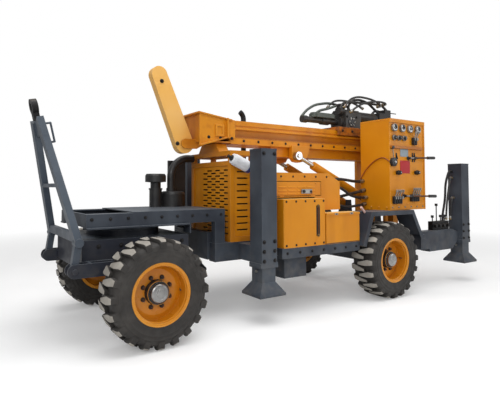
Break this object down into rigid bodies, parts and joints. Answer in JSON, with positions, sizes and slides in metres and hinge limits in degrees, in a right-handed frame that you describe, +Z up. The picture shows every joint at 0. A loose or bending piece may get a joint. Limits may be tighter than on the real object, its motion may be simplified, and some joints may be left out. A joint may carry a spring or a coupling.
{
  "type": "water well drilling rig",
  "caption": "Trailer-mounted water well drilling rig with a tilting mast, power head, hydraulic jacks and a raised drawbar.",
  "frame": {"origin": "middle of the length and width, on the ground under the wheels", "axes": "+Z up, +X towards the rear jacks, +Y towards the machine's right side"},
  "size_m": [4.903, 1.639, 2.23],
  "materials": {
    "yellow_paint": "gloss",
    "frame_paint": "satin",
    "steel": "satin",
    "iron": "matte",
    "tyre": "matte",
    "black_parts": "matte"
  },
  "bodies": {
    "chassis": {"main_frame": "frame_paint", "platform_sills": "frame_paint", "gooseneck": "frame_paint", "jack_tubes": "frame_paint", "rear_fenders": "frame_paint", "rear_axle": "frame_paint", "engine_block": "iron", "radiator_frame": "yellow_paint", "grilles": "yellow_paint", "hood": "yellow_paint", "side_tanks": "yellow_paint", "tool_box": "yellow_paint", "battery_box": "yellow_paint", "control_cabinet": "yellow_paint", "panel_controls": "black_parts", "mast_posts": "yellow_paint", "air_cleaners": "black_parts", "valve_bank": "iron"},
    "steering": {"steer_carriage": "frame_paint", "front_axle": "frame_paint"},
    "towbar": {"drawbar": "frame_paint", "tow_eye": "iron"},
    "mast": {"mast_beam": "yellow_paint", "crown_head": "yellow_paint"},
    "crown_jib": {"crown_arm": "yellow_paint"},
    "drill_head": {"power_head": "iron"},
    "barrel_left": {"lift_barrel_left": "yellow_paint"},
    "barrel_right": {"lift_barrel_right": "yellow_paint"},
    "rod_left": {"lift_rod_left": "steel"},
    "rod_right": {"lift_rod_right": "steel"},
    "box_lid": {"tool_box_lid": "yellow_paint"},
    "panel_left": {"hood_panel_left": "yellow_paint"},
    "panel_right": {"hood_panel_right": "yellow_paint"},
    "wheel_front_left": {"tyre_front_left": "tyre", "rim_front_left": "yellow_paint"},
    "leg_front_left": {"jack_leg_front_left": "frame_paint"},
    "wheel_front_right": {"tyre_front_right": "tyre", "rim_front_right": "yellow_paint"},
    "leg_front_right": {"jack_leg_front_right": "frame_paint"},
    "wheel_rear_left": {"tyre_rear_left": "tyre", "rim_rear_left": "yellow_paint"},
    "leg_rear_left": {"jack_leg_rear_left": "frame_paint"},
    "wheel_rear_right": {"tyre_rear_right": "tyre", "rim_rear_right": "yellow_paint"},
    "leg_rear_right": {"jack_leg_rear_right": "frame_paint"}
  },
  "joints": [
    {"name": "steering_turn", "type": "hinge", "parent": "chassis", "child": "steering", "pos_m": [-1.69348, 0, 0.797], "axis": [0, 0, 1], "range_deg": [-25, 25]},
    {"name": "drawbar_lower", "type": "hinge", "parent": "steering", "child": "towbar", "pos_m": [-2.21348, 0, 0.55], "axis": [0, -1, 0], "range_deg": [0, 85]},
    {"name": "wheel_spin_front_left", "type": "hinge", "parent": "steering", "child": "wheel_front_left", "pos_m": [-1.69348, -0.6875, 0.3875], "axis": [0, 1, 0], "continuous": true},
    {"name": "wheel_spin_front_right", "type": "hinge", "parent": "steering", "child": "wheel_front_right", "pos_m": [-1.69348, 0.6875, 0.3875], "axis": [0, 1, 0], "continuous": true},
    {"name": "wheel_spin_rear_left", "type": "hinge", "parent": "chassis", "child": "wheel_rear_left", "pos_m": [0.88552, -0.6875, 0.3875], "axis": [0, 1, 0], "continuous": true},
    {"name": "wheel_spin_rear_right", "type": "hinge", "parent": "chassis", "child": "wheel_rear_right", "pos_m": [0.88552, 0.6875, 0.3875], "axis": [0, 1, 0], "continuous": true},
    {"name": "mast_raise", "type": "hinge", "parent": "chassis", "child": "mast", "pos_m": [1.60652, 0, 1.5], "axis": [0, 1, 0], "range_deg": [0, 90]},
    {"name": "crown_arm_fold", "type": "hinge", "parent": "mast", "child": "crown_jib", "pos_m": [-1.12248, 0, 1.54], "axis": [0, -1, 0], "range_deg": [0, 68]},
    {"name": "head_feed", "type": "slide", "parent": "mast", "child": "drill_head", "axis": [-1, 0, 0], "range_m": [0, 1.3]},
    {"name": "barrel_swing_left", "type": "hinge", "parent": "chassis", "child": "barrel_left", "pos_m": [1.28652, -0.215, 0.93], "axis": [0, 1, 0], "range_deg": [0, 74.02]},
    {"name": "rod_reach_left", "type": "slide", "parent": "barrel_left", "child": "rod_left", "axis": [-0.9122, 0, 0.4097], "range_m": [0, 0.7973]},
    {"name": "barrel_swing_right", "type": "hinge", "parent": "chassis", "child": "barrel_right", "pos_m": [1.28652, 0.215, 0.93], "axis": [0, 1, 0], "range_deg": [0, 74.02]},
    {"name": "rod_reach_right", "type": "slide", "parent": "barrel_right", "child": "rod_right", "axis": [-0.9122, 0, 0.4097], "range_m": [0, 0.7973]},
    {"name": "jack_down_front_left", "type": "slide", "parent": "chassis", "child": "leg_front_left", "axis": [0, 0, -1], "range_m": [0, 0.45]},
    {"name": "jack_down_front_right", "type": "slide", "parent": "chassis", "child": "leg_front_right", "axis": [0, 0, -1], "range_m": [0, 0.45]},
    {"name": "jack_down_rear_left", "type": "slide", "parent": "chassis", "child": "leg_rear_left", "axis": [0, 0, -1], "range_m": [0, 0.45]},
    {"name": "jack_down_rear_right", "type": "slide", "parent": "chassis", "child": "leg_rear_right", "axis": [0, 0, -1], "range_m": [0, 0.45]},
    {"name": "lid_open", "type": "hinge", "parent": "chassis", "child": "box_lid", "pos_m": [0.24952, -0.565, 0.8906], "axis": [-1, 0, 0], "range_deg": [0, 90]},
    {"name": "panel_open_left", "type": "hinge", "parent": "chassis", "child": "panel_left", "pos_m": [-0.19348, -0.55, 1.056], "axis": [1, 0, 0], "range_deg": [0, 90]},
    {"name": "panel_open_right", "type": "hinge", "parent": "chassis", "child": "panel_right", "pos_m": [-0.19348, 0.55, 1.056], "axis": [-1, 0, 0], "range_deg": [0, 90]}
  ],
  "couplings": [
    {"joint": "barrel_swing_left", "follows": "mast_raise", "ratio": 0.81685},
    {"joint": "rod_reach_left", "follows": "mast_raise", "m_per_rad": 0.5063},
    {"joint": "barrel_swing_right", "follows": "mast_raise", "ratio": 0.81685},
    {"joint": "rod_reach_right", "follows": "mast_raise", "m_per_rad": 0.5063}
  ]
}
